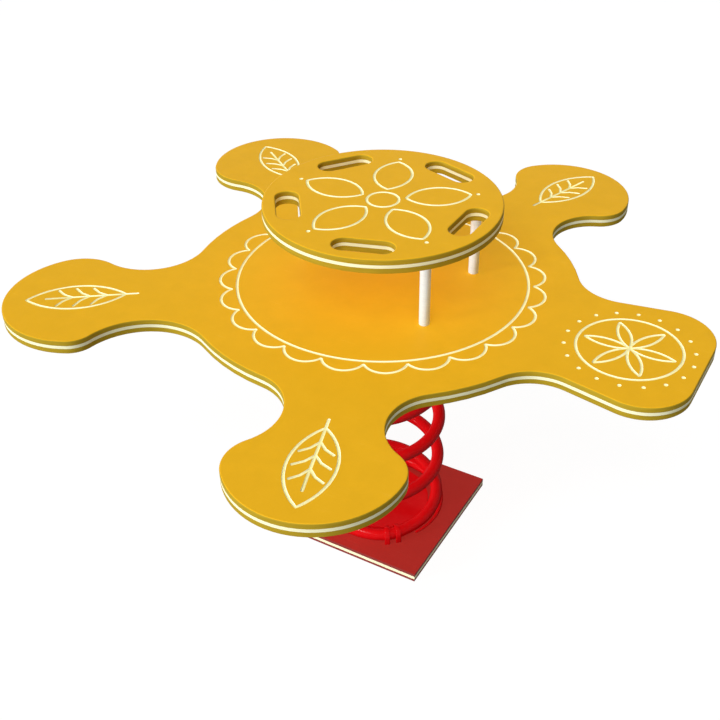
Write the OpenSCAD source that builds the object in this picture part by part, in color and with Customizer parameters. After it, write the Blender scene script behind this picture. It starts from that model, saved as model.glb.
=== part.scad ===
// Spring rider: a flat animal-shaped platform on one coil spring, with a round hand table on posts.
// Origin on the ground at the spring's axis. +X points to the head, +Z points up. Millimetres.

/* [Overall] */
// Height of the platform's top above the ground
seat_h = 483; // [400:1:600]
// Diameter of the platform's round middle, which the limbs and head grow from
body_d = 612; // [480:1:760]
// Diameter of the hand table
table_d = 360; // [300:1:440]
// Height of the table's top above the platform's top
table_rise = 135; // [100:1:200]

/* [Boards] */
// Thickness of the platform and table boards
board_t = 21; // [15:0.5:25]
// Thickness of their pale core
board_core = 5; // [3:0.5:8]
// Width of the square base board
base_w = 273; // [260:1:400]
// Thickness of the base board
base_t = 17; // [12:0.5:24]
// Thickness of its pale core
base_core = 6; // [3:0.5:8]

/* [Spring] */
// Mean diameter of the coil
coil_d = 192; // [160:1:230]
// Diameter of the wire
wire_d = 21; // [16:0.5:25]
// Free turns between the closed ends
active_turns = 5; // [4:0.5:7]
// Direction of the lower wire end, from the head
tip_angle = -28; // [-180:1:180]

/* [Table] */
// Diameter of the posts
post_d = 16; // [12:0.5:20]
// Length of a hand slot
slot_len = 90; // [70:1:100]
// Width of a hand slot
slot_w = 35; // [25:1:40]

/* [Fixings] */
// Shank diameter of the bolts
bolt_d = 8; // [6:1:10]
// Bore of the ground anchor inserts
anchor_bore = 8.5; // [6.8:0.1:10.2]
// Distance between the ground anchors
anchor_span = 210; // [190:1:240]

/* [Hidden] */
$fn = 48;
overrun = 1;
// Clearance around bolts and inserts, between straps and wire, and under the wire
fit_gap = 0.2;
wire_gap = 0.5;
seat_gap = 0.3;

// Levels and layers
base_skin = (base_t - base_core) / 2;
board_skin = (board_t - board_core) / 2;
deck_under = seat_h - board_t;
table_top = seat_h + table_rise;
table_under = table_top - board_t;
coil_space = deck_under - base_t;
wire_mid = base_t + seat_gap + wire_d / 2;

// Plan of the platform, as shares of the round middle's radius
body_r = body_d / 2;
arm_at = body_r * [0.442, 1.345];
arm_r = body_r * 0.390;
arm_corners = [-5, 137];
arm_corner_r = body_r * [0.162, 0.177];
arm_hollow_r = body_r * [0.250, 0.260];
leg_at = body_r * [-1.204, 0.874];
leg_r = body_r * 0.399;
leg_corners = [62, 211];
leg_corner_r = body_r * [0.128, 0.234];
leg_hollow_r = body_r * [0.327, 0.286];
head_reach = body_r * 1.650;
head_half = body_r * 0.413;
cheek_r = body_r * 0.233;
cheek_at = [head_reach - cheek_r, head_half - cheek_r];
neck_at = body_r * [1.079, 0.354];
neck_round = body_r * 0.243;
arc_step = 5;

// Spring wire
wire_r = wire_d / 2;
coil_r = coil_d / 2;
closed_deg = 351;
soften_deg = 20;
total_deg = 2 * closed_deg + 360 * active_turns;
pitch = (coil_space - wire_d - 2 * seat_gap) / active_turns;
tip_share = 0.2;
taper_deg = 150;
tip_out = wire_d * 0.14;
tip_out_deg = 150;
closed_out = wire_d * 0.29;
closed_out_until = 326;
closed_out_deg = 34;
wire_sides = 12;
wire_step = 8;

// Spring plates, clamps and staples
staple_t = 3;
staple_deg = 4.5;
staple_grip = wire_r + 2 * wire_gap;
staple_turns = [331, 341];
staple_bite = 2;
staple_leg = base_skin + staple_bite;
grip_r = wire_r + wire_gap;
plate_r = coil_r - staple_grip - staple_t;
plate_t = 8;
strap_t = 5;
closed_r = coil_r + closed_out;
clamp_turns = [140, 202, 264];
clamp_angles = [for (s = clamp_turns) tip_angle + s];
clamp_deg = 17;
clamp_bolt_r = plate_r * 0.84;
clamp_foot_r = plate_r * 0.66;
plate_bolt_r = plate_r * 0.45;
plate_bolt_angles = [45, 135, 225, 315];

// Bolts, inserts and posts
bolt_r = bolt_d / 2;
hex_r = bolt_d * 0.94;
hex_h = bolt_d * 0.66;
hole_r = bolt_r + fit_gap;
sink_r = bolt_d;
sink_h = bolt_r;
insert_r = bolt_d * 0.875;
insert_len = board_skin + board_core;
anchor_wall = 3.5;
anchor_r = anchor_bore / 2 + anchor_wall;
anchor_bite = base_skin * 0.4;
anchor_len = base_skin + base_core + anchor_bite;
washer_r = bolt_d * 1.15;
washer_t = 1.6;
post_r = post_d / 2;
post_ring = table_d * 0.398;
post_angles = [36, -36, 180];
post_thread = 22;
stud_grip = 14;
stud_spare = 2;
stud_reach = insert_len - stud_spare;
slot_ring = table_d * 0.393;
slot_angles = [for (k = [0:4]) 72 * k];

yellow = [0.91, 0.68, 0.12];
cream = [0.98, 0.94, 0.72];
red_board = [0.66, 0.17, 0.14];
red_steel = [0.82, 0.07, 0.08];
bright_steel = [0.80, 0.81, 0.80];
brass = [0.76, 0.60, 0.30];

// Outline of the platform: arcs that meet at a tangent, without each arc's last point
function heading(c, p) = atan2(p.y - c.y, p.x - c.x);
function after(a0, a) = a < a0 ? after(a0, a + 360) : a;
function before(a0, a) = a > a0 ? before(a0, a - 360) : a;
function arc(c, r, a0, a1) =
    let (n = max(2, ceil(abs(a1 - a0) / arc_step)))
    [for (i = [0:n - 1]) let (a = a0 + (a1 - a0) * i / n) c + r * [cos(a), sin(a)]];
function bulge(c, r, a0, a1) = arc(c, r, a0, after(a0, a1));
function hollow(c, r, a0, a1) = arc(c, r, a0, before(a0, a1));
// Centre of the hollow that touches the round middle and a lobe's corner
function hollow_at(c, r, f, side) =
    let (d = norm(c), x = (pow(body_r + f, 2) - pow(r + f, 2) + d * d) / (2 * d))
    let (h = side * sqrt(pow(body_r + f, 2) - x * x), u = c / d)
    [u.x * x - u.y * h, u.y * x + u.x * h];
middle = [0, 0];
// A lobe is a large round with a smaller round at each corner, where its hollows begin
function corner_at(c, r, a, k) = c + (r - k) * [cos(a), sin(a)];
function lobe_hollows(c, r, a, k, f) = [
    hollow_at(corner_at(c, r, a[0], k[0]), k[0], f[0], -1),
    hollow_at(corner_at(c, r, a[1], k[1]), k[1], f[1], 1)
];
function lobe(c, r, a, k, f) =
    let (c1 = corner_at(c, r, a[0], k[0]), c2 = corner_at(c, r, a[1], k[1]))
    let (h = lobe_hollows(c, r, a, k, f))
    concat(
        hollow(h[0], f[0], heading(h[0], middle), heading(h[0], c1)),
        bulge(c1, k[0], heading(c1, h[0]), a[0]),
        bulge(c, r, a[0], a[1]),
        bulge(c2, k[1], a[1], heading(c2, h[1])),
        hollow(h[1], f[1], heading(h[1], c2), heading(h[1], middle))
    );
// Side of the head: a line from the neck that touches the cheek
side_angle = heading(neck_at, cheek_at) + asin(cheek_r / norm(cheek_at - neck_at));
side_way = [cos(side_angle), sin(side_angle)];
side_out = [-sin(side_angle), cos(side_angle)];
neck_line = neck_at + side_out * neck_round;
neck_along = neck_line * side_way;
neck_slide = sqrt(neck_along * neck_along - neck_line * neck_line + pow(body_r + neck_round, 2));
neck_hollow = neck_line + side_way * (neck_slide - neck_along);
arm_hollows = lobe_hollows(arm_at, arm_r, arm_corners, arm_corner_r, arm_hollow_r);
leg_hollows = lobe_hollows(leg_at, leg_r, leg_corners, leg_corner_r, leg_hollow_r);
half_outline = concat(
    [[head_reach, 0]],
    bulge(cheek_at, cheek_r, 0, heading(middle, side_out)),
    [cheek_at + side_out * cheek_r],
    hollow(neck_hollow, neck_round, heading(side_out, middle), heading(neck_hollow, middle)),
    bulge(middle, body_r, heading(middle, neck_hollow), heading(middle, arm_hollows[0])),
    lobe(arm_at, arm_r, arm_corners, arm_corner_r, arm_hollow_r),
    bulge(middle, body_r, heading(middle, arm_hollows[1]), heading(middle, leg_hollows[0])),
    lobe(leg_at, leg_r, leg_corners, leg_corner_r, leg_hollow_r),
    bulge(middle, body_r, heading(middle, leg_hollows[1]), 180),
    [[-body_r, 0]]
);
outline = concat(
    half_outline,
    [for (i = [len(half_outline) - 2:-1:1]) [half_outline[i].x, -half_outline[i].y]]
);

// Wire path: s runs from the lower wire end to the upper one, in degrees
function ease(t) = t <= 0 ? 0 : t >= 1 ? 1 : (1 - cos(180 * t)) / 2;
function soft(u) = u <= -soften_deg ? 0 : u >= soften_deg ? u : pow(u + soften_deg, 2) / (4 * soften_deg);
function near_end(s) = min(s, total_deg - s);
function wire_at(s) = wire_r * (tip_share + (1 - tip_share) * ease(near_end(s) / taper_deg));
function lift(s) = pitch / 360 * (soft(s - closed_deg) - soft(s - closed_deg - 360 * active_turns));
function slope(s) = (lift(s + 1) - lift(s - 1)) / (coil_r * PI / 90);
// The closed turns are a little wider than the free ones, and each wire end lies outside its own turn
function coil_at(s) =
    coil_r + tip_out * (1 - ease(near_end(s) / tip_out_deg))
    + closed_out * (1 - ease((near_end(s) - closed_out_until) / closed_out_deg));
function level_at(s) =
    base_t + seat_gap + wire_r + lift(s) + (s < total_deg / 2 ? -1 : 1) * (wire_r - wire_at(s));
function path_at(s) = [coil_at(s) * cos(tip_angle + s), coil_at(s) * sin(tip_angle + s), level_at(s)];
function ring_at(s) =
    let (a = tip_angle + s, b = atan(slope(s)), c = path_at(s), r = wire_at(s))
    [for (k = [0:wire_sides - 1])
        let (w = 360 * k / wire_sides)
        c + r * cos(w) * [cos(a), sin(a), 0] + r * sin(w) * [sin(a) * sin(b), -cos(a) * sin(b), cos(b)]];
wire_rings = ceil(total_deg / wire_step);
wire_turns = [for (i = [0:wire_rings]) total_deg * i / wire_rings];
wire_points = [for (s = wire_turns) each ring_at(s)];
wire_faces = concat(
    [for (i = [0:wire_rings - 1], k = [0:wire_sides - 1])
        let (p = i * wire_sides, q = p + wire_sides, n = (k + 1) % wire_sides)
        each [[p + k, q + n, p + n], [p + k, q + k, q + n]]],
    [for (k = [1:wire_sides - 2]) [0, k, k + 1]],
    let (p = wire_rings * wire_sides)
    [for (k = [1:wire_sides - 2]) [p, p + k + 1, p + k]]
);
least_gap = min([for (i = [0:wire_rings], j = [i:wire_rings])
    let (s = wire_turns[i], t = wire_turns[j])
    if (t - s > 280 && t - s < 440) norm(path_at(s) - path_at(t)) - wire_at(s) - wire_at(t)]);
echo(least_gap = least_gap, pitch = pitch, points = len(outline), plate_r = plate_r);

// Turns the lower spring end onto the upper one, which has the same hand
flip_angle = tip_angle + total_deg / 2;
module at_top() {
    translate([0, 0, base_t + deck_under])
        rotate([0, 0, flip_angle])
            rotate([180, 0, 0])
                rotate([0, 0, -flip_angle])
                    children();
}
module around(angles, r) {
    for (a = angles)
        rotate([0, 0, a])
            translate([r, 0, 0])
                children();
}
module sweep(a, w) {
    rotate([0, 0, a - w / 2])
        rotate_extrude(angle = w, $fn = 180)
            children();
}
module hole(z, h, r) {
    translate([0, 0, z - overrun])
        cylinder(r = r, h = h + 2 * overrun);
}
module blind_up(z, h, r) {
    translate([0, 0, z - overrun])
        cylinder(r = r, h = h + overrun);
}
module tube(z, h, r, bore) {
    translate([0, 0, z])
        difference() {
            cylinder(r = r, h = h);
            hole(0, h, bore);
        }
}
// Hex bolt with its head's seat at z, pointing up
module hex_bolt(z, len) {
    translate([0, 0, z - hex_h])
        cylinder(r = hex_r, h = hex_h, $fn = 6);
    translate([0, 0, z - fit_gap])
        cylinder(r = bolt_r, h = len + fit_gap);
}

// Lower spring end, also used upside down at the top
module spring_plate_blank() {
    translate([0, 0, base_t])
        difference() {
            cylinder(r = plate_r, h = plate_t, $fn = 96);
            around(clamp_angles, clamp_bolt_r)
                hole(0, plate_t, hole_r);
            around(plate_bolt_angles, plate_bolt_r)
                hole(0, plate_t, hole_r);
        }
}
// Arch over the wire, open below
module arch(at, inside, thick) {
    difference() {
        translate([at, wire_mid])
            circle(r = inside + thick);
        translate([at, wire_mid])
            circle(r = inside);
        translate([0, -overrun])
            square([2 * at, wire_mid + overrun]);
    }
}
module clamp_profile() {
    foot = base_t + plate_t;
    arch(closed_r, grip_r, strap_t);
    translate([closed_r + grip_r, base_t])
        square([strap_t, wire_mid - base_t]);
    translate([closed_r - grip_r - strap_t, foot])
        square([strap_t, wire_mid - foot]);
    translate([clamp_foot_r, foot])
        square([closed_r - grip_r - clamp_foot_r, strap_t]);
}
module wire_clamps() {
    for (a = clamp_angles)
        difference() {
            sweep(a, clamp_deg)
                clamp_profile();
            around([a], clamp_bolt_r)
                hole(base_t + plate_t, strap_t, hole_r);
        }
}
module clamp_bolts() {
    around(clamp_angles, clamp_bolt_r)
        translate([0, 0, base_t + plate_t + strap_t])
            rotate([180, 0, 0])
                hex_bolt(0, strap_t + plate_t - overrun);
}
module staple_legs(at, grow, reach) {
    for (x = [at - staple_grip - staple_t, at + staple_grip])
        translate([x - grow, base_t - staple_leg - grow])
            square([staple_t + 2 * grow, staple_leg + grow + reach]);
}
module coil_staples() {
    for (s = staple_turns)
        sweep(tip_angle + s, staple_deg) {
            arch(coil_at(s), staple_grip, staple_t);
            staple_legs(coil_at(s), 0, wire_mid - base_t);
        }
}
// Room for the staples' legs in the boards
module staple_holes() {
    for (s = staple_turns)
        sweep(tip_angle + s, staple_deg * (1 + fit_gap / staple_t))
            staple_legs(coil_at(s), fit_gap, overrun);
}

// Base board
module base_layer(z, t) {
    difference() {
        translate([-base_w / 2, -base_w / 2, z])
            cube([base_w, base_w, t]);
        around(plate_bolt_angles, plate_bolt_r) {
            hole(0, base_t, hole_r);
            translate([0, 0, -overrun])
                cylinder(r1 = sink_r + fit_gap + overrun, r2 = bolt_r + fit_gap, h = sink_h + overrun);
        }
        for (x = [-1, 1], y = [-1, 1])
            translate([x * anchor_span / 2, y * anchor_span / 2, 0])
                blind_up(0, anchor_len + fit_gap, anchor_r + fit_gap);
        staple_holes();
    }
}
module base_bottom_skin() {
    color(red_board) base_layer(0, base_skin);
}
module base_core_layer() {
    color(cream) base_layer(base_skin, base_core);
}
module base_top_skin() {
    color(red_board) base_layer(base_skin + base_core, base_skin);
}
module anchor_inserts() {
    color(brass)
        for (x = [-1, 1], y = [-1, 1])
            translate([x * anchor_span / 2, y * anchor_span / 2, 0])
                tube(0, anchor_len, anchor_r, anchor_bore / 2);
}
module lower_plate_bolts() {
    color(bright_steel)
        around(plate_bolt_angles, plate_bolt_r) {
            cylinder(r1 = sink_r, r2 = bolt_r, h = sink_h);
            translate([0, 0, sink_h - fit_gap])
                cylinder(r = bolt_r, h = base_t + plate_t - sink_h - overrun);
        }
}
module lower_spring_plate() {
    color(red_steel) spring_plate_blank();
}
module lower_wire_clamps() {
    color(red_steel) wire_clamps();
}
module lower_clamp_bolts() {
    color(bright_steel) clamp_bolts();
}
module lower_coil_staples() {
    color(red_steel) coil_staples();
}

// Spring
module spring() {
    color(red_steel)
        polyhedron(points = wire_points, faces = wire_faces);
}

// Upper spring end
module upper_spring_plate() {
    color(red_steel) at_top() spring_plate_blank();
}
module upper_wire_clamps() {
    color(red_steel) at_top() wire_clamps();
}
module upper_clamp_bolts() {
    color(bright_steel) at_top() clamp_bolts();
}
module upper_coil_staples() {
    color(red_steel) at_top() coil_staples();
}
module upper_plate_bolts() {
    color(bright_steel)
        at_top()
            around(plate_bolt_angles, plate_bolt_r)
                translate([0, 0, base_t + plate_t])
                    rotate([180, 0, 0])
                        hex_bolt(0, plate_t + insert_len - overrun);
}
module upper_plate_inserts() {
    color(brass)
        at_top()
            around(plate_bolt_angles, plate_bolt_r)
                tube(base_t - insert_len, insert_len, insert_r, hole_r);
}

// Platform
module deck_layer(z, t) {
    difference() {
        translate([0, 0, z])
            linear_extrude(t)
                polygon(outline);
        around(post_angles, post_ring)
            hole(deck_under, board_t, hole_r);
        at_top() {
            around(plate_bolt_angles, plate_bolt_r)
                translate([0, 0, base_t - insert_len - fit_gap])
                    cylinder(r = insert_r + fit_gap, h = insert_len + fit_gap + overrun);
            staple_holes();
        }
    }
}
module platform_bottom_skin() {
    color(yellow) deck_layer(deck_under, board_skin);
}
module platform_core() {
    color(cream) deck_layer(deck_under + board_skin, board_core);
}
module platform_top_skin() {
    color(yellow) deck_layer(deck_under + board_skin + board_core, board_skin);
}

// Posts
module post(k) {
    color(bright_steel)
        around([post_angles[k]], post_ring)
            translate([0, 0, seat_h])
                difference() {
                    cylinder(r = post_r, h = table_under - seat_h);
                    blind_up(0, post_thread + overrun, hole_r);
                    translate([0, 0, table_under - seat_h - stud_grip - overrun])
                        cylinder(r = hole_r, h = stud_grip + 2 * overrun);
                }
}
module left_post() {
    post(0);
}
module right_post() {
    post(1);
}
module rear_post() {
    post(2);
}
module post_washers() {
    color(bright_steel)
        around(post_angles, post_ring)
            tube(deck_under - washer_t, washer_t, washer_r, hole_r);
}
module post_bolts() {
    color(bright_steel)
        around(post_angles, post_ring)
            hex_bolt(deck_under - washer_t, washer_t + board_t + post_thread);
}
module post_studs() {
    color(bright_steel)
        around(post_angles, post_ring)
            translate([0, 0, table_under - stud_grip])
                cylinder(r = bolt_r, h = stud_grip + stud_reach);
}

// Table
module table_layer(z, t) {
    difference() {
        translate([0, 0, z])
            cylinder(r = table_d / 2, h = t, $fn = 144);
        around(slot_angles, slot_ring) {
            for (y = [-1, 1])
                translate([0, y * (slot_len - slot_w) / 2, 0])
                    hole(table_under, board_t, slot_w / 2);
            translate([-slot_w / 2, -(slot_len - slot_w) / 2, table_under - overrun])
                cube([slot_w, slot_len - slot_w, board_t + 2 * overrun]);
        }
        around(post_angles, post_ring)
            blind_up(table_under, insert_len + fit_gap, insert_r + fit_gap);
    }
}
module table_bottom_skin() {
    color(yellow) table_layer(table_under, board_skin);
}
module table_core() {
    color(cream) table_layer(table_under + board_skin, board_core);
}
module table_top_skin() {
    color(yellow) table_layer(table_under + board_skin + board_core, board_skin);
}
module table_inserts() {
    color(brass)
        around(post_angles, post_ring)
            tube(table_under, insert_len, insert_r, hole_r);
}

base_bottom_skin();
base_core_layer();
base_top_skin();
anchor_inserts();
lower_plate_bolts();
lower_spring_plate();
lower_wire_clamps();
lower_clamp_bolts();
lower_coil_staples();
spring();
upper_spring_plate();
upper_wire_clamps();
upper_clamp_bolts();
upper_coil_staples();
upper_plate_bolts();
upper_plate_inserts();
platform_bottom_skin();
platform_core();
platform_top_skin();
left_post();
right_post();
rear_post();
post_washers();
post_bolts();
post_studs();
table_inserts();
table_bottom_skin();
table_core();
table_top_skin();
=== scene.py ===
# %% [markdown]
# # A playground spring rider
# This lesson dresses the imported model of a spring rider: a flat board with a head and four limbs
# on one coil spring, with a round hand table on three posts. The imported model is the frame. It
# holds every size and every joint, so each piece made here goes where the frame says it is.

# %% Load the frame
import math
import bmesh
import bpy
from mathutils import Matrix, Vector, kdtree


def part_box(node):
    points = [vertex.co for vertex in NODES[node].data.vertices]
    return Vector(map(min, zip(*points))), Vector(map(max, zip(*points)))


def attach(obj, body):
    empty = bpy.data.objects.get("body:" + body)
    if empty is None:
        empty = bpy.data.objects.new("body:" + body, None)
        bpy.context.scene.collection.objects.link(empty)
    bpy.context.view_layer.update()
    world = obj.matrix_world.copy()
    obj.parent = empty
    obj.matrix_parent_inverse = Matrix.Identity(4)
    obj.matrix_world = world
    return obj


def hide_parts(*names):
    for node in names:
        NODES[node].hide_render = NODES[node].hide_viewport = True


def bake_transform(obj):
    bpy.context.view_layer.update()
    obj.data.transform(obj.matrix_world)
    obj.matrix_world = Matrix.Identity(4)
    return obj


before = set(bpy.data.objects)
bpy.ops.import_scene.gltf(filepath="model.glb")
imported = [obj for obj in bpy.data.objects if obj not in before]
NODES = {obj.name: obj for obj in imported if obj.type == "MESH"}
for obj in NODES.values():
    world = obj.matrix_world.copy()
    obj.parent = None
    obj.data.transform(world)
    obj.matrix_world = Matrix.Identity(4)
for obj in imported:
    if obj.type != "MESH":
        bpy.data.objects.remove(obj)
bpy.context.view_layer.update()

MM = 0.001

# %% [markdown]
# ## The camera
# The photograph looks down on the rider from its right front. The place, the lens and the small
# shift come from matching the table's ellipse, the slots and the base board's corners.

# %% Camera
PHOTO_EYE = Vector((0.6894, -1.2371, 1.3333))
PHOTO_HEADING = 119.1
PHOTO_DIP = 35.22
PHOTO_LENS = 52.79
PHOTO_SENSOR = 36
PHOTO_SHIFT = (-0.0324, -0.0057)
NEAREST = 20 * MM


def heading_vector(heading, dip):
    """The direction of a look, from its compass heading (from +X) and its dip below the horizon."""
    h, d = math.radians(heading), math.radians(dip)
    return Vector((math.cos(h) * math.cos(d), math.sin(h) * math.cos(d), -math.sin(d)))


lens = bpy.data.cameras.new("photo_camera")
lens.sensor_width = PHOTO_SENSOR
lens.lens = PHOTO_LENS
lens.shift_x, lens.shift_y = PHOTO_SHIFT
lens.clip_start = NEAREST
camera = bpy.data.objects.new("photo_camera", lens)
camera.location = PHOTO_EYE
camera.rotation_euler = heading_vector(PHOTO_HEADING, PHOTO_DIP).to_track_quat("-Z", "Y").to_euler()
bpy.context.scene.collection.objects.link(camera)
bpy.context.scene.camera = camera
print("camera at", [round(c, 3) for c in PHOTO_EYE])

# %% [markdown]
# ## Shader maths
# A finish is a web of nodes. Drawing it in Python is easier to read when a socket can be added to
# and multiplied like a number, so one small class wraps a socket. A second class holds a web of
# nodes and has one method that makes any node in it.

# %% Signals


class Signal:
    """A socket that can be used in a sum."""

    def __init__(self, web, socket):
        self.web = web
        self.socket = socket

    def sum_with(self, operation, left, right):
        return self.web.node("ShaderNodeMath", {"operation": operation}, {0: left, 1: right})

    def __add__(self, other):
        return self.sum_with("ADD", self, other)

    def __radd__(self, other):
        return self.sum_with("ADD", other, self)

    def __sub__(self, other):
        return self.sum_with("SUBTRACT", self, other)

    def __rsub__(self, other):
        return self.sum_with("SUBTRACT", other, self)

    def __mul__(self, other):
        return self.sum_with("MULTIPLY", self, other)

    def __rmul__(self, other):
        return self.sum_with("MULTIPLY", other, self)

    def above(self, level):
        return self.sum_with("GREATER_THAN", self, level)

    def least(self, other):
        return self.sum_with("MINIMUM", self, other)

    def most(self, other):
        return self.sum_with("MAXIMUM", self, other)


class NodeWeb:
    """A tree of nodes, in a material or in the world."""

    def __init__(self, tree):
        self.tree = tree

    def node(self, kind, settings=None, inputs=None, out=0):
        """A new node: its kind, its settings, and the values or links of its sockets."""
        made = self.tree.nodes.new(kind)
        for key, value in (settings or {}).items():
            setattr(made, key, value)
        for key, value in (inputs or {}).items():
            if isinstance(value, Signal):
                self.tree.links.new(value.socket, made.inputs[key])
            else:
                made.inputs[key].default_value = value
        return Signal(self, made.outputs[out])

    def surface(self, output, signal):
        """Shows a shader at the output node of that name."""
        self.tree.links.new(signal.socket, self.tree.nodes[output].inputs["Surface"])


print("signals ready")

# %% [markdown]
# ## Finishes
# Every finish here is built from the same few things: noise at a size taken from the real surface,
# a ramp that stretches it, a mix of two colours and a bump. They are methods of one class, so
# that each finish below reads like a list of what is seen on the material. Colours are written as
# a screen shows them and made linear once.

# %% Finish helpers


class Finish(NodeWeb):
    """A material, its shader and the nodes that feed it."""

    def __init__(self, name, **constants):
        self.material = bpy.data.materials.new(name)
        self.material.use_nodes = True
        super().__init__(self.material.node_tree)
        self.shader = self.tree.nodes["Principled BSDF"]
        for socket, value in constants.items():
            self.shader.inputs[socket.replace("_", " ")].default_value = value

    def feed(self, socket, signal):
        """Links a signal to a socket of the shader."""
        self.tree.links.new(signal.socket, self.shader.inputs[socket])

    def place(self, stretch=(1, 1, 1), turn=0):
        """Object coordinates in metres, turned about the vertical and stretched."""
        here = self.node("ShaderNodeTexCoord", out="Object")
        inputs = {"Vector": here, "Scale": stretch, "Rotation": (0, 0, turn)}
        return self.node("ShaderNodeMapping", {}, inputs)

    def noise(self, size, detail=2.0, stretch=(1, 1, 1), turn=0, rough=0.5):
        """Cloudy noise from 0 to 1 whose lumps are about size metres across."""
        inputs = {
            "Vector": self.place(stretch, turn),
            "Scale": 1 / size,
            "Detail": detail,
            "Roughness": rough,
        }
        return self.node("ShaderNodeTexNoise", {}, inputs)

    def ramp(self, signal, low, high, at_low=0.0, at_high=1.0):
        """signal, stretched so that low becomes at_low and high becomes at_high."""
        inputs = {0: signal, 1: low, 2: high, 3: at_low, 4: at_high}
        return self.node("ShaderNodeMapRange", {}, inputs)

    def mix(self, share, first, second):
        """A colour between two."""
        inputs = {0: share, 6: first, 7: second}
        return self.node("ShaderNodeMix", {"data_type": "RGBA"}, inputs, out=2)

    def tones(self, share, colour, darkest, lightest):
        """A colour between a darker and a lighter tone of one colour."""
        return self.mix(share, shade(colour, darkest), shade(colour, lightest))

    def bump(self, height, strength, distance, under=None):
        """A normal bent by a height, on top of another normal if one is given."""
        inputs = {"Height": height, "Strength": strength, "Distance": distance}
        if under is not None:
            inputs["Normal"] = under
        return self.node("ShaderNodeBump", {}, inputs)


def paint(red, green, blue):
    """A colour as a screen shows it, from 0 to 255, made linear for a shader."""
    def linear(c):
        c = c / 255
        return c / 12.92 if c <= 0.04045 else ((c + 0.055) / 1.055) ** 2.4
    return (linear(red), linear(green), linear(blue), 1.0)


def shade(colour, share):
    """A colour made darker or lighter by a share."""
    return tuple(min(c * share, 1.0) for c in colour[:3]) + (1.0,)


print("finish helpers ready")

# %% [markdown]
# ## Play sheet
# The boards are cut from a thick plastic sheet with coloured skins and a pale core. The moulded
# face has a fine leathery grain, a slight waviness from the press, and hair-thin scuffs where it
# is worn. The sawn edge is duller, with tool marks that run along it. Its colour is partly the
# cut's own darker tone and partly painted shade for the side faces, and on the pale core it is
# painted light instead. One function makes the sheet in any colour, and tells face from edge by
# which way the surface looks.

# %% Play sheet finishes
SHEET_GLOSS = 0.05
GRAIN = 1.6 * MM
GRAIN_DEPTH = 0.6 * MM
PRESS_WAVE = 120 * MM
PRESS_DEPTH = 2 * MM
MOTTLE = 35 * MM
SCUFF = 1.1 * MM
CROSS_SCUFF = 1.2 * MM
TOOL_MARK = 1.3 * MM
FACE_UP = 0.6
FACE_ROUGH = 0.40
SAWN_ROUGH = 0.62


def play_sheet(name, colour, scuff, edge):
    """Moulded sheet in one colour, with the colours of its scuffs and of its sawn edge, which paints
    in the side faces' light and shade.
    """
    sheet = Finish(name, Specular_IOR_Level=SHEET_GLOSS)
    grain = sheet.noise(GRAIN, 3.0, rough=0.6)
    press = sheet.noise(PRESS_WAVE)
    mottle = sheet.noise(MOTTLE, 4.0, rough=0.65)
    along = sheet.ramp(sheet.noise(SCUFF, stretch=(0.018, 1, 1), turn=0.5), 0.66, 0.74)
    across = sheet.ramp(sheet.noise(CROSS_SCUFF, stretch=(0.022, 1, 1), turn=-0.9), 0.67, 0.75)
    hairs = (along + across).least(1.0) * sheet.ramp(mottle, 0.5, 0.72)
    facing = sheet.node("ShaderNodeNewGeometry", out="Normal")
    up = sheet.node("ShaderNodeSeparateXYZ", {}, {0: facing}, out=2)
    flat = (up * up).above(FACE_UP)
    tool = sheet.noise(TOOL_MARK, stretch=(0.05, 0.05, 1))
    body = sheet.tones(sheet.ramp(mottle, 0.3, 0.7), colour, 0.965, 1.03)
    body = sheet.mix(sheet.ramp(press, 0.35, 0.65) * 0.5, body, shade(colour, 0.985))
    body = sheet.mix(hairs * 0.35, body, scuff)
    # The sawn edge colour on the side faces is partly the cut's own darker tone and partly painted
    # shade; on the pale core it is painted light.
    sawn_with_painted_side_shade = sheet.tones(sheet.ramp(tool, 0.35, 0.7), edge, 0.92, 1.08)
    sheet.feed("Base Color", sheet.mix(flat, sawn_with_painted_side_shade, body))
    dull = sheet.ramp(flat, 0, 1, SAWN_ROUGH, FACE_ROUGH)
    sheet.feed("Roughness", dull + sheet.ramp(grain, 0.3, 0.7, -0.03, 0.05) + hairs * 0.14)
    height = grain * 0.55 + mottle * 0.25 + hairs * -0.35 + (1 - flat) * tool * 0.8
    wave = sheet.bump(press, 0.25, PRESS_DEPTH)
    sheet.feed("Normal", sheet.bump(height, 0.22, GRAIN_DEPTH, wave))
    return sheet.material


YELLOW = paint(232, 176, 31)
CREAM = paint(255, 245, 176)
BOARD_RED = paint(180, 47, 41)
# The last colour of each sheet is its sawn edge: darkened as painted shade for the side faces on the
# skins, and lightened as painted light on the pale core.
yellow_sheet = play_sheet("yellow_play_sheet", YELLOW, paint(246, 205, 96), paint(175, 147, 38))
red_sheet = play_sheet("red_play_sheet", BOARD_RED, paint(205, 104, 92), paint(140, 56, 54))
cream_sheet = play_sheet("cream_core", CREAM, paint(255, 250, 214), paint(255, 251, 208))
print("sheet finishes:", yellow_sheet.name, red_sheet.name, cream_sheet.name)

# %% [markdown]
# ## Powder coat
# The spring and its fittings are powder-coated: a thick, even skin with a low gloss, the faint
# dimples of orange peel and a little dust. The colour carries the look, so the skin's own
# reflection is left to a thin clear coat that the dust dulls.

# %% Powder coat finish
PEEL = 4.2 * MM
PEEL_DEPTH = 0.6 * MM
COAT_CLOUD = 50 * MM
DUST = 11 * MM
CLEAR_COAT = 0.1
CLEAR_ROUGH = 0.14
DUST_ON_CLEAR = 0.07
STEEL_RED = paint(208, 13, 18)
DUST_RED = paint(196, 120, 110)


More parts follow.
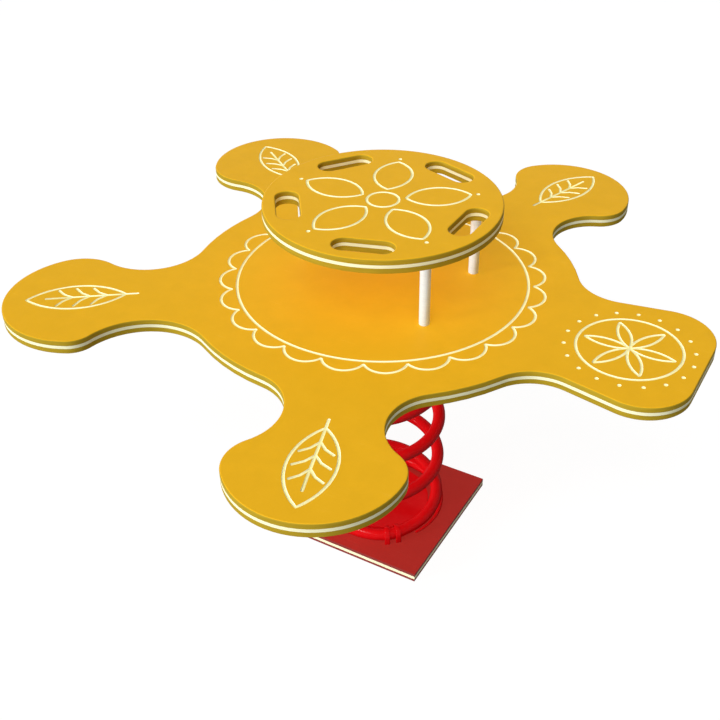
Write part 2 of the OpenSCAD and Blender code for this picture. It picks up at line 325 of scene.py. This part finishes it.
def powder_coat(name, colour):
    """Baked paint in one colour, clouded a little and dusty in patches."""
    coat = Finish(name, Specular_IOR_Level=0.0, Coat_Roughness=CLEAR_ROUGH)
    cloud = coat.noise(COAT_CLOUD, 3.0)
    dust = coat.ramp(coat.noise(DUST, 4.0, rough=0.7), 0.56, 0.8)
    body = coat.tones(coat.ramp(cloud, 0.3, 0.7), colour, 0.93, 1.05)
    coat.feed("Base Color", coat.mix(dust * 0.06, body, DUST_RED))
    coat.feed("Roughness", coat.ramp(cloud, 0.3, 0.7, 0.24, 0.32) + dust * 0.16)
    coat.feed("Coat Weight", CLEAR_COAT - dust * DUST_ON_CLEAR)
    coat.feed("Normal", coat.bump(coat.noise(PEEL), 0.16, PEEL_DEPTH))
    return coat.material


red_steel = powder_coat("red_powder_coat", STEEL_RED)
print("coat finish:", red_steel.name)

# %% [markdown]
# ## Bright metals
# The posts are pale satin bars with turned lines round them, so their noise is stretched flat.
# Bolts and washers are zinc-plated, which shows as a patchy crystal bloom, and a cell pattern
# gives each crystal its own tone. The threaded inserts have the same plating in brass.

# %% Bright metal finishes
TURNED_LINE = 0.9 * MM
TURNED_DEPTH = 0.3 * MM
STEEL_CLOUD = 20 * MM
CRYSTALS_PER_METRE = 420.0
FLECK = 1.2 * MM
FLECK_DEPTH = 0.2 * MM
POST_METAL = 0.12


def satin_steel(name, colour):
    """A pale turned bar with fine lines round it."""
    steel = Finish(name, Metallic=POST_METAL)
    turned = steel.noise(TURNED_LINE, stretch=(0.08, 0.08, 1))
    dull = steel.ramp(steel.noise(STEEL_CLOUD, 3.0), 0.45, 0.75)
    body = steel.tones(steel.ramp(turned, 0.3, 0.7), colour, 0.92, 1.04)
    steel.feed("Base Color", steel.mix(dull * 0.4, body, shade(colour, 0.88)))
    steel.feed("Roughness", steel.ramp(turned, 0.3, 0.7, 0.30, 0.44) + dull * 0.06)
    steel.feed("Normal", steel.bump(turned, 0.14, TURNED_DEPTH))
    return steel.material


def plating(name, colour):
    """Plated metal whose crystals differ in tone."""
    plate = Finish(name, Metallic=1.0)
    cells = {"Vector": plate.place(), "Scale": CRYSTALS_PER_METRE}
    bloom = plate.node("ShaderNodeTexVoronoi", {"feature": "F1"}, cells, out="Color")
    tone = plate.node("ShaderNodeSeparateColor", {}, {0: bloom})
    fleck = plate.noise(FLECK, 3.0)
    plate.feed("Base Color", plate.tones(tone, colour, 0.86, 1.06))
    rough = plate.ramp(tone, 0, 1, 0.28, 0.44) + plate.ramp(fleck, 0.4, 0.7, 0, 0.08)
    plate.feed("Roughness", rough)
    plate.feed("Normal", plate.bump(fleck, 0.12, FLECK_DEPTH))
    return plate.material


post_steel = satin_steel("satin_post_steel", paint(229, 244, 255))
zinc_plate = plating("zinc_plate", paint(196, 198, 198))
brass_plate = plating("brass", paint(206, 172, 104))
print("bright finishes:", post_steel.name, zinc_plate.name, brass_plate.name)

# %% [markdown]
# ## From frame to finished piece
# Most pieces keep the frame's shape and gain what a real cut part has: broken edges. A copy of the
# node is welded and its flat faces joined, so that a bevel can run along the true edges only.
# Level faces are shaded flat and the rest smooth, because a large flat face that shares smooth
# corners with a round rim would show fans of false shading.

# %% Edge helpers
WELD = 0.004 * MM
SAME_LEVEL = 0.02 * MM
FLAT_ANGLE = math.radians(0.4)


def copy_of(node):
    """A welded copy of a node's mesh, with its flat faces joined."""
    made = bmesh.new()
    made.from_mesh(NODES[node].data)
    bmesh.ops.remove_doubles(made, verts=made.verts, dist=WELD)
    bmesh.ops.dissolve_limit(made, angle_limit=FLAT_ANGLE, verts=made.verts, edges=made.edges)
    return made


def sharp_edges(made, least=50, level=None):
    """The outer edges that turn by more than least degrees, at one level if it is given."""
    found = []
    for edge in made.edges:
        if len(edge.link_faces) != 2 or edge.calc_face_angle_signed() < math.radians(least):
            continue
        if level is None or all(abs(v.co.z - level) < SAME_LEVEL for v in edge.verts):
            found.append(edge)
    return found


def round_edges(made, edges, width, segments=3):
    """Rounds edges off by a width."""
    bmesh.ops.bevel(
        made, geom=edges, offset=width, offset_type="OFFSET", segments=segments, profile=0.5,
        affect="EDGES", clamp_overlap=True, material=-1,
    )


print("edge helpers ready, corners weld within", WELD / MM, "mm")

# %% Piece helpers
SMOOTH_ANGLE = math.radians(32)
LEVEL_NORMAL = 0.9999


def soften(mesh, smooth=SMOOTH_ANGLE):
    """Smooth shading up to an angle, with level faces kept quite flat."""
    mesh.shade_smooth()
    mesh.set_sharp_from_angle(angle=smooth)
    for face in mesh.polygons:
        face.use_smooth = abs(face.normal.z) < LEVEL_NORMAL


def as_object(name, made):
    """A new object at the origin from a bmesh, which is then let go."""
    mesh = bpy.data.meshes.new(name)
    made.to_mesh(mesh)
    made.free()
    thing = bpy.data.objects.new(name, mesh)
    bpy.context.scene.collection.objects.link(thing)
    return thing


def show(name, made, finishes, smooth=SMOOTH_ANGLE):
    """A piece from a bmesh, with its finishes and smooth shading up to an angle."""
    piece = as_object(name, made)
    for finish in finishes:
        piece.data.materials.append(finish)
    soften(piece.data, smooth)
    return piece


def stand_in(piece, body, slot, *nodes):
    """The piece rides on a body and stands for these nodes."""
    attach(piece, body)
    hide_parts(*nodes)
    print(piece.name, "has", len(piece.data.polygons), "faces")
    return piece


print("piece helpers ready")

# %% [markdown]
# ## Round bars
# The spring is a round bar, and so is the path of a round-nosed cutter. Both could be spun or
# skinned, but a curve with a thickness at each point is the natural way to draw a bar along a
# path. It is then made a mesh, welded, and its normals are set to point outwards.

# %% Bar helper


def evaluated_mesh(thing):
    """A new mesh of an object as it looks with its curve or modifiers worked out."""
    graph = bpy.context.evaluated_depsgraph_get()
    return bpy.data.meshes.new_from_object(thing.evaluated_get(graph))


def round_bar(name, points, resolution, closed=False):
    """A bmesh of a round bar through points, each a centre and a half thickness."""
    curve = bpy.data.curves.new(name, "CURVE")
    curve.dimensions = "3D"
    curve.bevel_depth = 1.0
    curve.bevel_resolution = resolution
    curve.use_fill_caps = True
    spline = curve.splines.new("POLY")
    spline.points.add(len(points) - 1)
    spline.use_cyclic_u = closed
    for place, (centre, half) in zip(spline.points, points):
        place.co = (*centre, 1)
        place.radius = half
    drawn = bpy.data.objects.new(name, curve)
    bpy.context.scene.collection.objects.link(drawn)
    mesh = evaluated_mesh(drawn)
    bpy.data.objects.remove(drawn)
    bpy.data.curves.remove(curve)
    made = bmesh.new()
    made.from_mesh(mesh)
    bpy.data.meshes.remove(mesh)
    bmesh.ops.remove_doubles(made, verts=made.verts, dist=WELD)
    bmesh.ops.recalc_face_normals(made, faces=made.faces)
    return made


print("bar helper ready")

# %% [markdown]
# ## The spring
# One bar of round steel is wound into five free turns between two closed turns. Each end of the
# bar is forged thin and lies outside its own turn. The path is a formula in degrees along the bar:
# how far out it runs, how high it has climbed and how thick it is. A screw modifier could wind a
# plain coil, but not one with soft starts and thin ends.

# %% Spring path
COIL_R = 96 * MM
BAR_R = 10.5 * MM
SEAT_GAP = 0.3 * MM
COIL_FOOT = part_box("base_top_skin")[1].z + SEAT_GAP
COIL_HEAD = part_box("platform_bottom_skin")[0].z - SEAT_GAP
FREE_TURNS = 5
TIP_HEADING = -28
CLOSED_DEG = 351
SOFTEN_DEG = 20
TOTAL_DEG = 2 * CLOSED_DEG + 360 * FREE_TURNS
PITCH = (COIL_HEAD - COIL_FOOT - 2 * BAR_R) / FREE_TURNS
TIP_OUT_SHARE = 0.14
TIP_OUT = 2 * BAR_R * TIP_OUT_SHARE
TIP_OUT_DEG = 150
CLOSED_OUT_SHARE = 0.29
CLOSED_OUT = 2 * BAR_R * CLOSED_OUT_SHARE
CLOSED_UNTIL = 326
CLOSED_EASE = 34
TIP_SHARE = 0.2
TAPER_DEG = 150


def ease(share):
    """A soft step from 0 to 1."""
    share = min(max(share, 0), 1)
    return (1 - math.cos(math.pi * share)) / 2


def climb(turn):
    """Degrees climbed, with a soft start."""
    if turn <= -SOFTEN_DEG:
        return 0
    return turn if turn >= SOFTEN_DEG else (turn + SOFTEN_DEG) ** 2 / (4 * SOFTEN_DEG)


def bar_at(turn):
    """The bar's centre and half thickness, a number of degrees from its lower end."""
    end = min(turn, TOTAL_DEG - turn)
    half = BAR_R * (TIP_SHARE + (1 - TIP_SHARE) * ease(end / TAPER_DEG))
    reach = COIL_R + TIP_OUT * (1 - ease(end / TIP_OUT_DEG))
    reach += CLOSED_OUT * (1 - ease((end - CLOSED_UNTIL) / CLOSED_EASE))
    rise = PITCH / 360 * (climb(turn - CLOSED_DEG) - climb(turn - CLOSED_DEG - 360 * FREE_TURNS))
    side = -1 if turn < TOTAL_DEG / 2 else 1
    level = COIL_FOOT + BAR_R + rise + side * (BAR_R - half)
    heading = math.radians(TIP_HEADING + turn)
    return Vector((reach * math.cos(heading), reach * math.sin(heading), level)), half


print("spring: pitch", round(PITCH / MM, 1), "mm, bar", round(2 * BAR_R / MM, 1), "mm")

# %% [markdown]
# ## The spring's two halves
# The rider leans forward over the lower half of the spring and sideways over the upper half. So
# the bar is made in two halves. A short dome rounds off each wire end, within the bar's own length.

# %% Spring halves
STEP_DEG = 4
BAR_RESOLUTION = 7
BAR_SMOOTH = math.radians(50)
DOME_ANGLES = (0.0, 0.35, 0.7, 1.05, 1.4)
DOME_SHARE = 0.5
NOSE_SHARE = 0.12


def bar_turns(first, last):
    """Even steps along the bar."""
    steps = math.ceil((last - first) / STEP_DEG)
    return [first + (last - first) * k / steps for k in range(steps + 1)]


def round_off(points):
    """The same points with a small dome at the first one."""
    centre, half = points[0]
    ahead = (points[1][0] - centre).normalized() * half * DOME_SHARE
    dome = [
        (centre + ahead * (1 - math.cos(a)), half * max(math.sin(a), NOSE_SHARE))
        for a in DOME_ANGLES
    ]
    return dome + points[1:]


def bar_piece(name, first, last):
    """The stretch of the bar between two turns, with a dome where the wire ends."""
    points = [bar_at(turn) for turn in bar_turns(first, last)]
    if first == 0:
        points = round_off(points)
    if last == TOTAL_DEG:
        points = round_off(points[::-1])[::-1]
    return show(name, round_bar(name, points, BAR_RESOLUTION), [red_steel], BAR_SMOOTH)


lower_bar = bar_piece("spring_lower_half", 0, TOTAL_DEG / 2)
upper_bar = bar_piece("spring_upper_half", TOTAL_DEG / 2, TOTAL_DEG)
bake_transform(lower_bar)
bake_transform(upper_bar)
for half in (lower_bar, upper_bar):
    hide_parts("spring")
    print(half.name, "has", len(half.data.polygons), "faces")

# %% [markdown]
# ## Plain boards
# The base, the table and the lower layers of the platform are routed boards. A router leaves a
# small round on each outer edge, so only the top skins' top edges and the bottom skins' bottom
# edges are rounded; between the layers the edge runs through.

# %% Boards
RIM_ROUND = 1.6 * MM
BASE_ROUND = 0.8 * MM


def board(node, finish, body, slot, face, width=RIM_ROUND):
    """A layer of a board. face is 1 to round its top edges, -1 its bottom edges, 0 neither."""
    made = copy_of(node)
    low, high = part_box(node)
    if face:
        round_edges(made, sharp_edges(made, level=high.z if face > 0 else low.z), width)
    return stand_in(show(node + "_board", made, [finish]), body, slot, node)


board("base_bottom_skin", red_sheet, "base", "red_board", -1, BASE_ROUND)
board("base_core_layer", cream_sheet, "base", "pale_core", 0)
board("base_top_skin", red_sheet, "base", "red_board", 1, BASE_ROUND)
board("platform_bottom_skin", yellow_sheet, "rider", "yellow_board", -1)
board("platform_core", cream_sheet, "rider", "pale_core", 0)
board("table_bottom_skin", yellow_sheet, "rider", "yellow_board", -1)
board("table_core", cream_sheet, "rider", "pale_core", 0)

# %% [markdown]
# ## Lines to carve
# The top skins carry an engraved pattern: leaves on the limbs, a rosette on the head, scallops
# round the middle and petals on the table. Each is drawn flat, as lines of points made from arcs,
# and then turned to a heading and moved to its place. A line is a pair: its points, and whether it
# is closed.

# %% Arcs and petals


def polar(radius, heading):
    """A point at a distance and a heading in degrees."""
    angle = math.radians(heading)
    return Vector((radius * math.cos(angle), radius * math.sin(angle)))


def arc_points(centre, radius, start=0, stop=360, step=3):
    """Points along an arc, about step degrees apart."""
    count = max(2, math.ceil(abs(stop - start) / step))
    headings = [start + (stop - start) * k / count for k in range(count + 1)]
    return [Vector(centre) + polar(radius, heading) for heading in headings]


def ring_line(radius):
    """A closed ring round the middle."""
    return arc_points((0, 0), radius)[:-1], True


def placed(lines, centre, heading):
    """Lines drawn along +X, turned to a heading and moved to a centre."""
    turn = Matrix.Rotation(math.radians(heading), 2)
    return [([turn @ p + Vector(centre) for p in points], closed) for points, closed in lines]


def bow_radius(length, width):
    """The radius of the arc that makes one side of a pointed oval."""
    half, belly = length / 2, width / 2
    return (half * half + belly * belly) / (2 * belly)


def petal_lines(length, width):
    """A pointed oval along +X: two arcs that meet at both ends."""
    radius = bow_radius(length, width)
    spread = math.degrees(math.asin(length / 2 / radius))
    upper = arc_points((0, width / 2 - radius), radius, 90 + spread, 90 - spread, 2)
    lower = [Vector((p.x, -p.y)) for p in reversed(upper)]
    return [(upper[:-1] + lower[:-1], True)]


print("a petal has", len(petal_lines(2, 1)[0][0]), "points")

# %% [markdown]
# ## Leaves, rosette and scallops
# A leaf is a petal with a midrib and pairs of bowed veins. A rosette is what a compass draws by
# stepping round a ring. A scalloped ring is a row of small arcs, and their radius follows from
# the chord that each one spans and how deep it bows.

# %% Leaves, rosette and scallops
NOSE_R = 2.5 * MM
STALK_SHARE = 1.25
RIB_SHARE = 0.62
VEIN_SPREAD_SHARE = 1.05
VEIN_SLANT_SHARE = 0.15
VEIN_REACH_SHARE = 0.78
VEIN_BOW_SHARE = 0.42
VEIN_BOW = 2 * MM
ROSETTE_RING_SHARE = 1.14
SCALLOP_GAP = 3.2 * NOSE_R


def leaf_lines(length, width, veins):
    """A petal with a midrib and pairs of veins."""
    half, belly = length / 2, width / 2
    radius = bow_radius(length, width)
    lines = petal_lines(length, width)
    lines.append(([Vector((-half * STALK_SHARE, 0)), Vector((half * RIB_SHARE, 0))], False))
    for k in range(veins):
        foot = -half * RIB_SHARE + k * half * VEIN_SPREAD_SHARE / veins
        tip = foot + length * VEIN_SLANT_SHARE
        bend = (foot + tip) / 2 + VEIN_BOW
        reach = (math.sqrt(radius * radius - tip * tip) - radius + belly) * VEIN_REACH_SHARE
        for side in (1, -1):
            spots = ((foot, 0), (bend, side * reach * VEIN_BOW_SHARE), (tip, side * reach))
            lines.append(([Vector(spot) for spot in spots], False))
    return lines


def rosette_lines(radius, petals):
    """Petals drawn with a compass: arcs through the middle of a ring, as on old chests."""
    lines = [ring_line(radius * ROSETTE_RING_SHARE)]
    for k in range(petals):
        heading = 360 * k / petals
        arc = arc_points(polar(radius, heading), radius, heading + 120, heading + 240)
        lines.append((arc, False))
    return lines


def scallop_lines(radius, depth, count):
    """A ring of small outward arcs round a plain ring."""
    lines = [ring_line(radius)]
    half_step = math.radians(180 / count)
    reach = radius + SCALLOP_GAP
    chord = reach * math.sin(half_step)
    bow = (chord * chord + depth * depth) / (2 * depth)
    inset = reach * math.cos(half_step) + depth - bow
    spread = math.degrees(math.asin(chord / bow))
    arc = (arc_points((inset, 0), bow, -spread, spread, 6), False)
    for k in range(count):
        lines += placed([arc], (0, 0), 360 * k / count)
    return lines


print("a leaf has", len(leaf_lines(2, 1, 3)), "lines, a rosette", len(rosette_lines(1, 6)))

# %% [markdown]
# ## Carving
# A round-nosed cutter makes each line, so each line is a thin bar that is taken away from the
# board, and a ball leaves each dot. Painted lines would be flat, and a bump shows no depth from
# the side, so the lines are cut into the mesh. The pale core shows where the cutter has been:
# the new faces are known by their depth and by how near a line they lie. Where cuts cross they
# leave pairs of corners in the same place, which are joined before the faces are coloured.

# %% Cutters
NOSE_LIFT = 1.3 * MM
NOSE_RESOLUTION = 3
RUN_OUT_SHARE = 0.5
RUN_OUT_TIP_SHARE = 0.55
BALL_R = NOSE_R * 1.35
BALL_LIFT = NOSE_LIFT * 1.2
BALL_SIDES = 20
BALL_RINGS = 12


def cutter(points, closed, level):
    """A bar along a line whose lower side dips under the board's top."""
    halves = [NOSE_R] * len(points)
    if not closed:
        run_out = NOSE_R * RUN_OUT_SHARE
        first = points[0] + (points[0] - points[1]).normalized() * run_out
        last = points[-1] + (points[-1] - points[-2]).normalized() * run_out
        points = [first] + points + [last]
        tip = NOSE_R * RUN_OUT_TIP_SHARE
        halves = [tip] + halves + [tip]
    path = [((p.x, p.y, level + NOSE_LIFT), half) for p, half in zip(points, halves)]
    return as_object("cutter", round_bar("cutter", path, NOSE_RESOLUTION, closed))


def drill(point, level):
    """A ball that leaves a small round dimple."""
    ball = bmesh.new()
    bmesh.ops.create_uvsphere(ball, u_segments=BALL_SIDES, v_segments=BALL_RINGS, radius=BALL_R)
    bmesh.ops.translate(ball, verts=ball.verts, vec=(point.x, point.y, level + BALL_LIFT))
    return as_object("drill", ball)


def take_away(piece, tool):
    """Cuts a tool's shape out of a piece and lets the tool go."""
    cut = piece.modifiers.new("cut", "BOOLEAN")
    cut.operation = "DIFFERENCE"
    cut.solver = "MANIFOLD"
    cut.object = tool
    carved = evaluated_mesh(piece)
    piece.modifiers.remove(cut)
    spent = (piece.data, tool.data)
    piece.data = carved
    bpy.data.objects.remove(tool)
    for mesh in spent:
        bpy.data.meshes.remove(mesh)


print("cutter is", round(2 * NOSE_R / MM, 1), "mm wide")

# %% Carve a pattern
MARK_GAP = 1.5 * MM
CUT_DEPTH = 4 * MM
CUT_SKIN = 0.01 * MM
CUT_REACH = NOSE_R * 1.5


def dense(points, closed):
    """Points along a line, no further apart than the gap between marks."""
    ends = points[1:] + points[:1] if closed else points[1:]
    found = []
    for a, b in zip(points, ends):
        count = max(1, math.ceil((b - a).length / MARK_GAP))
        found += [a.lerp(b, k / count) for k in range(count + 1)]
    return found


def join_corners(mesh):
    """Joins the corners that the cuts left in the same place."""
    made = bmesh.new()
    made.from_mesh(mesh)
    bmesh.ops.remove_doubles(made, verts=made.verts, dist=WELD)
    made.to_mesh(mesh)
    made.free()


def carve(piece, lines, dots, level):
    """Takes every line and dot away from the piece, one after another, and colours what was cut."""
    for points, closed in lines:
        take_away(piece, cutter(points, closed, level))
    for point in dots:
        take_away(piece, drill(point, level))
    join_corners(piece.data)
    marks = [p for points, closed in lines for p in dense(points, closed)] + dots
    tree = kdtree.KDTree(len(marks))
    for k, p in enumerate(marks):
        tree.insert((p.x, p.y, 0), k)
    tree.balance()
    pale = 0
    for face in piece.data.polygons:
        c = face.center
        if level - CUT_DEPTH < c.z < level - CUT_SKIN and tree.find((c.x, c.y, 0))[2] < CUT_REACH:
            face.material_index = 1
            pale += 1
    soften(piece.data)
    print(piece.name, "carved with", len(lines) + len(dots), "cuts,", pale, "pale faces")


def top_skin(node, width):
    """A top skin with a rounded rim, ready to be carved, and the level of its face."""
    made = copy_of(node)
    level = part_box(node)[1].z
    round_edges(made, sharp_edges(made, level=level), width)
    return show(node + "_carved", made, [yellow_sheet, cream_sheet]), level


print("cuts are", round((NOSE_R - NOSE_LIFT) / MM, 1), "mm deep")

# %% [markdown]
# ## The carved top skins
# The platform's top skin is the face of the rider. It is rounded at its rim first, and then the
# pattern is cut: a leaf on each limb, mirrored from side to side, a rosette in a ring of dots on
# the head, and a scalloped ring round the middle. The table's top skin is treated alike, with
# rounder edges for the hands and a petal between each pair of slots.

# %% Platform top skin
ARM = (140 * MM, 430 * MM)
ARM_HEADING = 72
LEG = (-378 * MM, 276 * MM)
LEG_HEADING = 144
HEAD_MIDDLE = Vector((398 * MM, 0))
LEAF_LENGTH = 148 * MM
LEAF_WIDTH = 64 * MM
LEAF_VEINS = 3
ROSETTE_R = 66 * MM
ROSETTE_PETALS = 6
DOT_RING = 92 * MM
DOT_COUNT = 18
SCALLOP_RING = 226 * MM
SCALLOP_DEPTH = 21 * MM
SCALLOP_COUNT = 24

platform_top, platform_level = top_skin("platform_top_skin", RIM_ROUND)
platform_lines = scallop_lines(SCALLOP_RING, SCALLOP_DEPTH, SCALLOP_COUNT)
platform_lines += placed(rosette_lines(ROSETTE_R, ROSETTE_PETALS), HEAD_MIDDLE, 0)
leaf = leaf_lines(LEAF_LENGTH, LEAF_WIDTH, LEAF_VEINS)
for side in (1, -1):
    for (x, y), heading in ((ARM, ARM_HEADING), (LEG, LEG_HEADING)):
        platform_lines += placed(leaf, (x, side * y), side * heading)
platform_dots = [HEAD_MIDDLE + polar(DOT_RING, 360 * k / DOT_COUNT) for k in range(DOT_COUNT)]
carve(platform_top, platform_lines, platform_dots, platform_level)
stand_in(platform_top, "rider", "yellow_board", "platform_top_skin")

# %% Table top skin
HAND_ROUND = 2 * MM
EYE_R = 24 * MM
PETAL_RING = 84 * MM
PETAL_LENGTH = 98 * MM
PETAL_WIDTH = 58 * MM
TIP_DOT_RING = 144 * MM
PETAL_COUNT = 5
PETAL_HEADINGS = [360 * (k + 0.5) / PETAL_COUNT for k in range(PETAL_COUNT)]

table_top, table_level = top_skin("table_top_skin", HAND_ROUND)
table_lines = [ring_line(EYE_R)]
petal = petal_lines(PETAL_LENGTH, PETAL_WIDTH)
for heading in PETAL_HEADINGS:
    table_lines += placed(petal, polar(PETAL_RING, heading), heading)
table_dots = [polar(TIP_DOT_RING, heading) for heading in PETAL_HEADINGS]
carve(table_top, table_lines, table_dots, table_level)
stand_in(table_top, "rider", "yellow_board", "table_top_skin")

# %% [markdown]
# ## Posts
# Each post is a plain turned bar with a small round at each end. A many-sided bar with its end
# edges bevelled gives that, and it covers the threaded holes that only the frame needs.

# %% Posts
POST_SIDES = 56
POST_ROUND = 0.8 * MM


def post(node):
    """A turned bar in a post's place."""
    low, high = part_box(node)
    radius = (high.x - low.x) / 2
    made = bmesh.new()
    bmesh.ops.create_cone(
        made, cap_ends=True, segments=POST_SIDES, radius1=radius, radius2=radius,
        depth=high.z - low.z, matrix=Matrix.Translation((low + high) / 2),
    )
    round_edges(made, sharp_edges(made), POST_ROUND)
    return stand_in(show(node + "_bar", made, [post_steel]), "rider", "bright_posts", node)


for node in ("left_post", "right_post", "rear_post"):
    post(node)

# %% [markdown]
# ## Clamps, plates and bolts
# The fittings are small, but they are seen inside the coil and from below. Each is a welded copy
# of its node with every outer edge broken, as a pressed or machined part has. The inserts and
# studs inside the boards keep the frame's shape, because only a bore or an end of them shows.

# %% Fittings
PLATE_BREAK = 1.0 * MM
CLAMP_BREAK = 0.8 * MM
STAPLE_BREAK = 0.6 * MM
HEAD_BREAK = 0.5 * MM
THIN_BREAK = 0.3 * MM
FITTING_TURN = 40
FITTING_SEGMENTS = 2


def fitting(node, finish, body, slot, width):
    """A node's own shape with its outer edges broken by a width."""
    made = copy_of(node)
    round_edges(made, sharp_edges(made, least=FITTING_TURN), width, FITTING_SEGMENTS)
    return stand_in(show(node + "_fitting", made, [finish]), body, slot, node)


for end, body in (("lower", "base"), ("upper", "rider")):
    fitting(end + "_spring_plate", red_steel, body, "red_steel", PLATE_BREAK)
    fitting(end + "_wire_clamps", red_steel, body, "red_steel", CLAMP_BREAK)
    fitting(end + "_coil_staples", red_steel, body, "red_steel", STAPLE_BREAK)
    fitting(end + "_clamp_bolts", zinc_plate, body, "zinc_fixings", HEAD_BREAK)
fitting("upper_plate_bolts", zinc_plate, "rider", "zinc_fixings", HEAD_BREAK)
fitting("lower_plate_bolts", zinc_plate, "base", "zinc_fixings", THIN_BREAK)
fitting("post_bolts", zinc_plate, "rider", "zinc_fixings", HEAD_BREAK)
fitting("post_washers", zinc_plate, "rider", "zinc_fixings", THIN_BREAK)

# %% Inserts and studs
for node, finish in (
    ("anchor_inserts", brass_plate), ("upper_plate_inserts", brass_plate),
    ("table_inserts", brass_plate), ("post_studs", zinc_plate),
):
    NODES[node].data.materials.clear()
    NODES[node].data.materials.append(finish)
print("inserts and studs finished")

# %% [markdown]
# ## Floor and sky
# The photograph has a plain white ground. The floor and the sky show white to the camera, in
# reflections and through glass. To all other rays the floor is grey and the sky is dim, so that
# they throw little light on the rider, and the floor still keeps a faint shadow.

# %% Floor
WHITE = (1, 1, 1, 1)
FLOOR_HALF = 30
FLOOR_DROP = 0.4 * MM
FLOOR_GREY = 0.35
FLOOR_GLOW = 0.84
FLOOR_SHADE = 0.2


def grey(level):
    """A neutral colour."""
    return (level, level, level, 1)


def seen_directly(web):
    """1 for rays that see a surface straight, in a mirror or through glass, and 0 for others."""
    rays = ("Is Camera Ray", "Is Glossy Ray", "Is Transmission Ray")
    straight, mirrored, through = [web.node("ShaderNodeLightPath", out=ray) for ray in rays]
    return straight.most(mirrored).most(through)


ground = bmesh.new()
bmesh.ops.create_grid(ground, x_segments=1, y_segments=1, size=FLOOR_HALF)
bmesh.ops.translate(ground, verts=ground.verts, vec=(0, 0, -FLOOR_DROP))
pale_floor = Finish("pale_floor", Base_Color=grey(FLOOR_GREY), Roughness=1.0, Specular_IOR_Level=0.0)
glow = pale_floor.node("ShaderNodeEmission", {}, {"Color": WHITE, "Strength": FLOOR_GLOW})
lit = pale_floor.node("ShaderNodeBsdfDiffuse", {}, {"Color": grey(FLOOR_SHADE)})
both = pale_floor.node("ShaderNodeAddShader", {}, {0: glow, 1: lit})
plain = Signal(pale_floor, pale_floor.shader.outputs[0])
choice = {0: seen_directly(pale_floor), 1: plain, 2: both}
pale_floor.surface("Material Output", pale_floor.node("ShaderNodeMixShader", {}, choice))
show("floor", ground, [pale_floor.material])
print("floor is", 2 * FLOOR_HALF, "m wide")

# %% Sky
SKY_FILL = 0.17

sky = bpy.data.worlds.new("studio")
sky.use_nodes = True
bpy.context.scene.world = sky
sky_web = NodeWeb(sky.node_tree)
fill = sky_web.node("ShaderNodeBackground", {}, {"Color": WHITE, "Strength": SKY_FILL})
white = sky_web.node("ShaderNodeBackground", {}, {"Color": WHITE, "Strength": 1.0})
choice = {0: seen_directly(sky_web), 1: fill, 2: white}
sky_web.surface("World Output", sky_web.node("ShaderNodeMixShader", {}, choice))
print("sky fills with", SKY_FILL)

# %% [markdown]
# ## Lamps
# The tops are evenly light in the photograph, with no cast shadow on them, the left sides are
# nearly as light, and the right sides are dark. A broad lamp high behind the camera gives soft
# light with soft shadows. A high sun that casts no shadow evens out the tops. A low sun from the
# left lights the posts, the edges and the left of the coil, under the board.

# %% Lamps
RIGHT = heading_vector(PHOTO_HEADING - 90, 0)
AWAY = heading_vector(PHOTO_HEADING, 0)
AIM = Vector((0, 0, 0.4))
HIGH_BLUR = math.radians(20)
LOW_BLUR = math.radians(12)


def lamp(name, kind, place, power, **settings):
    """A lamp at a place given as right, away and up, as the camera sees it, aimed at the rider."""
    light = bpy.data.lights.new(name, kind)
    light.energy = power
    for key, value in settings.items():
        setattr(light, key, value)
    made = bpy.data.objects.new(name, light)
    made.location = RIGHT * place[0] + AWAY * place[1] + Vector((0, 0, place[2]))
    made.rotation_euler = (AIM - made.location).to_track_quat("-Z", "Y").to_euler()
    bpy.context.scene.collection.objects.link(made)
    print(name, "at", [round(c, 2) for c in made.location])


lamp("key", "AREA", (-2.0, -4.8, 6.2), 185, shape="DISK", size=4.5)
lamp("high_light", "SUN", (-1.6, -1.4, 2.9), 2.08, angle=HIGH_BLUR, use_shadow=False)
lamp("low_light", "SUN", (-3.0, -1.3, 0.75), 1.5, angle=LOW_BLUR)
bpy.context.scene.view_settings.view_transform = "Standard"
